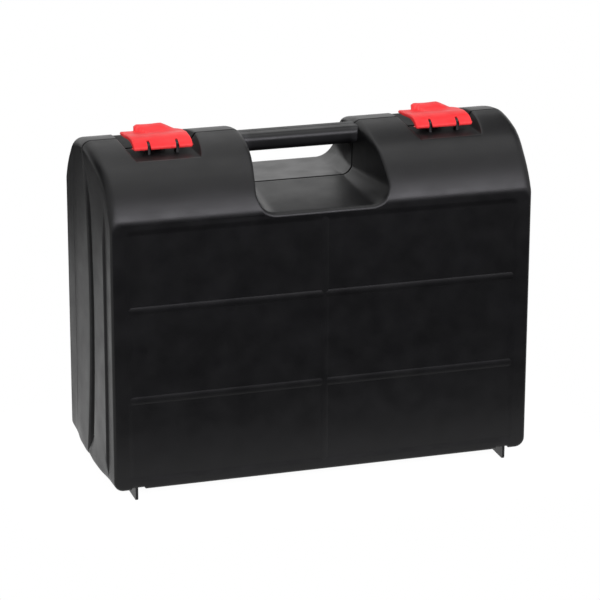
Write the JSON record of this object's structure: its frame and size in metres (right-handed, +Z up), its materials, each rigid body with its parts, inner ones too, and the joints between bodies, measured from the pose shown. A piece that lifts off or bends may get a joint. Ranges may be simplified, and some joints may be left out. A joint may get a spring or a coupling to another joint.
{
  "type": "hard tool case",
  "caption": "Upright hard tool case of two hinged hollow shells with rounded shoulders, a grip bar through a hand opening and pivoting top latches.",
  "frame": {"origin": "on the surface the case stands on, in the parting plane and midway across the width", "axes": "+X to the right seen from the front, +Y to the rear, +Z up"},
  "size_m": [0.4138, 0.176, 0.3278],
  "materials": {
    "shell_plastic": "fine grained black moulded polypropylene, satin",
    "latch_plastic": "smooth red moulded plastic",
    "pin_steel": "drawn steel pin"
  },
  "bodies": {
    "rear_half": {"rear_shell": "shell_plastic", "hinge_pin_left": "pin_steel", "hinge_pin_right": "pin_steel"},
    "front_half": {"front_shell": "shell_plastic", "latch_pin_left": "pin_steel", "latch_pin_right": "pin_steel"},
    "left_latch": {"latch_left": "latch_plastic"},
    "right_latch": {"latch_right": "latch_plastic"}
  },
  "joints": [
    {"name": "case_hinge", "type": "hinge", "parent": "rear_half", "child": "front_half", "pos_m": [0, 0, 0.0057], "axis": [1, 0, 0], "range_deg": [0, 180]},
    {"name": "left_latch_pivot", "type": "hinge", "parent": "front_half", "child": "left_latch", "pos_m": [-0.136, -0.023, 0.3205], "axis": [1, 0, 0], "range_deg": [0, 110]},
    {"name": "right_latch_pivot", "type": "hinge", "parent": "front_half", "child": "right_latch", "pos_m": [0.136, -0.023, 0.3205], "axis": [1, 0, 0], "range_deg": [0, 110]}
  ]
}
